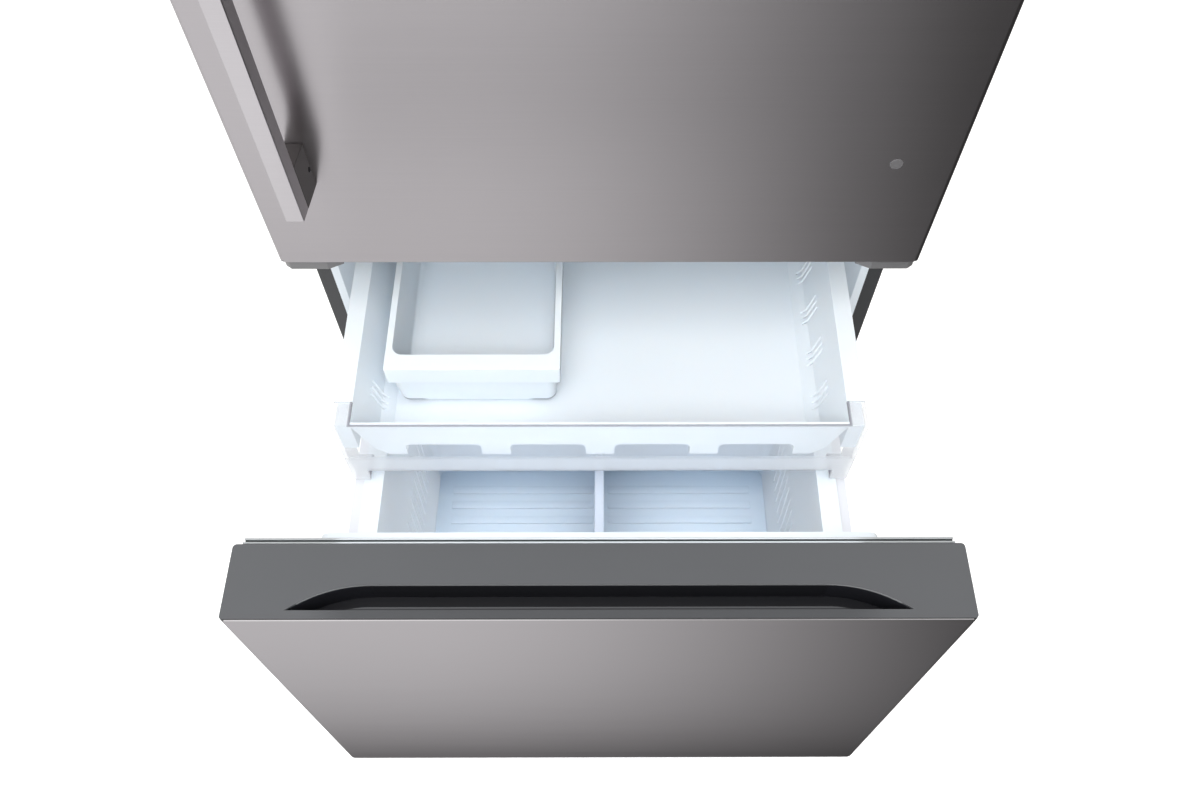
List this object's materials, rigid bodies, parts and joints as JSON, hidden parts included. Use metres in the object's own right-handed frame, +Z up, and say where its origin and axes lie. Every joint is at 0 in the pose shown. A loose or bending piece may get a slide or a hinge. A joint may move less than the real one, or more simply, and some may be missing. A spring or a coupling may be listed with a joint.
{
  "type": "bottom freezer refrigerator",
  "caption": "Bottom freezer refrigerator in brushed stainless, its freezer drawer, clear-fronted tray and bin pulled out under the closed upper door.",
  "frame": {"origin": "on the floor, at the centre of the space taken up with the drawer open", "axes": "+X to the right seen from the front, +Y to the back, +Z up"},
  "size_m": [0.832, 1.2776, 1.772],
  "materials": {
    "painted_case": "satin",
    "stainless": "satin",
    "grey_cap": "satin",
    "hinge_grey": "satin",
    "white_liner": "satin",
    "white_moulded": "satin",
    "clear_moulded": "gloss",
    "shelf_pane": "gloss",
    "soft_seal": "matte",
    "foam_core": "matte",
    "zinc_steel": "satin",
    "rail_steel": "satin",
    "black_steel": "gloss",
    "black_plastic": "matte",
    "black_rubber": "matte",
    "copper_tube": "satin",
    "fin_aluminium": "satin",
    "lamp_lens": "satin"
  },
  "bodies": {
    "cabinet": {"outer_shell": "painted_case", "back_panel": "zinc_steel", "insulation_foam": "foam_core", "fresh_food_liner": "white_liner", "freezer_liner": "white_liner", "mullion_rail": "painted_case", "base_pan": "zinc_steel", "toe_grille": "grey_cap", "compressor_cover": "black_plastic", "compressor": "black_steel", "compressor_mounts": "black_rubber", "condenser_coil": "copper_tube", "condenser_fan_motor": "black_plastic", "evaporator": "fin_aluminium", "evaporator_cover": "white_liner", "roller_brackets": "zinc_steel", "top_hinge": "zinc_steel", "top_hinge_cover": "hinge_grey", "middle_hinge": "zinc_steel", "middle_hinge_covers": "hinge_grey", "shelf_frames": "white_moulded", "shelf_glass": "shelf_pane", "crisper_cover": "shelf_pane", "lamp_panel": "lamp_lens", "rail_outer": "rail_steel"},
    "upper_door": {"door_skin": "stainless", "door_top_cap": "grey_cap", "door_bottom_cap": "grey_cap", "door_liner": "white_liner", "door_foam": "foam_core", "door_gasket": "soft_seal", "door_bins": "clear_moulded", "handle_bar": "stainless", "handle_posts": "grey_cap", "hole_plugs": "hinge_grey"},
    "dairy_flap": {"dairy_lid": "clear_moulded"},
    "freezer_drawer": {"drawer_skin": "stainless", "drawer_top_cap": "grey_cap", "drawer_bottom_cap": "grey_cap", "drawer_foam": "foam_core", "drawer_liner": "white_liner", "drawer_gasket": "soft_seal", "rail_inner": "rail_steel", "basket": "white_moulded", "basket_divider": "white_moulded"},
    "middle_rails": {"rail_middle": "rail_steel"},
    "sliding_tray": {"upper_tray": "white_moulded", "tray_trim": "clear_moulded"},
    "loose_bin": {"ice_bin": "white_moulded"},
    "left_crisper": {"crisper_left": "clear_moulded"},
    "right_crisper": {"crisper_right": "clear_moulded"},
    "switch_button": {"door_switch": "white_moulded"},
    "front_wheels": {"front_rollers": "black_plastic"},
    "rear_wheels": {"rear_rollers": "black_plastic"},
    "left_leg": {"levelling_leg_left": "black_plastic"},
    "right_leg": {"levelling_leg_right": "black_plastic"},
    "condenser_rotor": {"condenser_fan": "black_plastic"},
    "evaporator_rotor": {"evaporator_fan": "black_plastic"}
  },
  "joints": [
    {"name": "door_swing", "type": "hinge", "parent": "cabinet", "child": "upper_door", "pos_m": [0.402, -0.11815, 0.748], "axis": [0, 0, 1], "range_deg": [0, 130]},
    {"name": "dairy_lid_lift", "type": "hinge", "parent": "upper_door", "child": "dairy_flap", "pos_m": [0, 0.02085, 1.6367], "axis": [1, 0, 0], "range_deg": [0, 80]},
    {"name": "drawer_slide", "type": "slide", "parent": "cabinet", "child": "freezer_drawer", "axis": [0, 1, 0], "range_m": [0, 0.4757]},
    {"name": "rail_slide", "type": "slide", "parent": "cabinet", "child": "middle_rails", "axis": [0, 1, 0], "range_m": [0, 0.23785]},
    {"name": "tray_slide", "type": "slide", "parent": "cabinet", "child": "sliding_tray", "axis": [0, 1, 0], "range_m": [0, 0.318]},
    {"name": "bin_slide", "type": "slide", "parent": "sliding_tray", "child": "loose_bin", "axis": [0, 1, 0], "range_m": [-0.06, 0.06]},
    {"name": "crisper_left_slide", "type": "slide", "parent": "cabinet", "child": "left_crisper", "axis": [0, -1, 0], "range_m": [0, 0.078]},
    {"name": "crisper_right_slide", "type": "slide", "parent": "cabinet", "child": "right_crisper", "axis": [0, -1, 0], "range_m": [0, 0.078]},
    {"name": "switch_press", "type": "slide", "parent": "cabinet", "child": "switch_button", "axis": [0, 1, 0], "range_m": [0, 0.003], "stiffness_N_per_m": 300, "springref_m": -0.004},
    {"name": "front_rollers_spin", "type": "hinge", "parent": "cabinet", "child": "front_wheels", "pos_m": [0, 0.02685, 0.019], "axis": [1, 0, 0], "continuous": true},
    {"name": "rear_rollers_spin", "type": "hinge", "parent": "cabinet", "child": "rear_wheels", "pos_m": [0, 0.57685, 0.016], "axis": [1, 0, 0], "continuous": true},
    {"name": "leg_left_turn", "type": "hinge", "parent": "cabinet", "child": "left_leg", "pos_m": [-0.372, -0.02815, 0], "axis": [0, 0, 1], "continuous": true},
    {"name": "leg_right_turn", "type": "hinge", "parent": "cabinet", "child": "right_leg", "pos_m": [0.372, -0.02815, 0], "axis": [0, 0, 1], "continuous": true},
    {"name": "condenser_fan_spin", "type": "hinge", "parent": "cabinet", "child": "condenser_rotor", "pos_m": [0.005, 0.52685, 0.144], "axis": [1, 0, 0], "continuous": true},
    {"name": "evaporator_fan_spin", "type": "hinge", "parent": "cabinet", "child": "evaporator_rotor", "pos_m": [0, 0.47685, 0.622], "axis": [0, 1, 0], "continuous": true}
  ],
  "couplings": [
    {"joint": "rail_slide", "follows": "drawer_slide", "ratio": 0.5},
    {"joint": "tray_slide", "follows": "drawer_slide", "ratio": 0.66849}
  ]
}
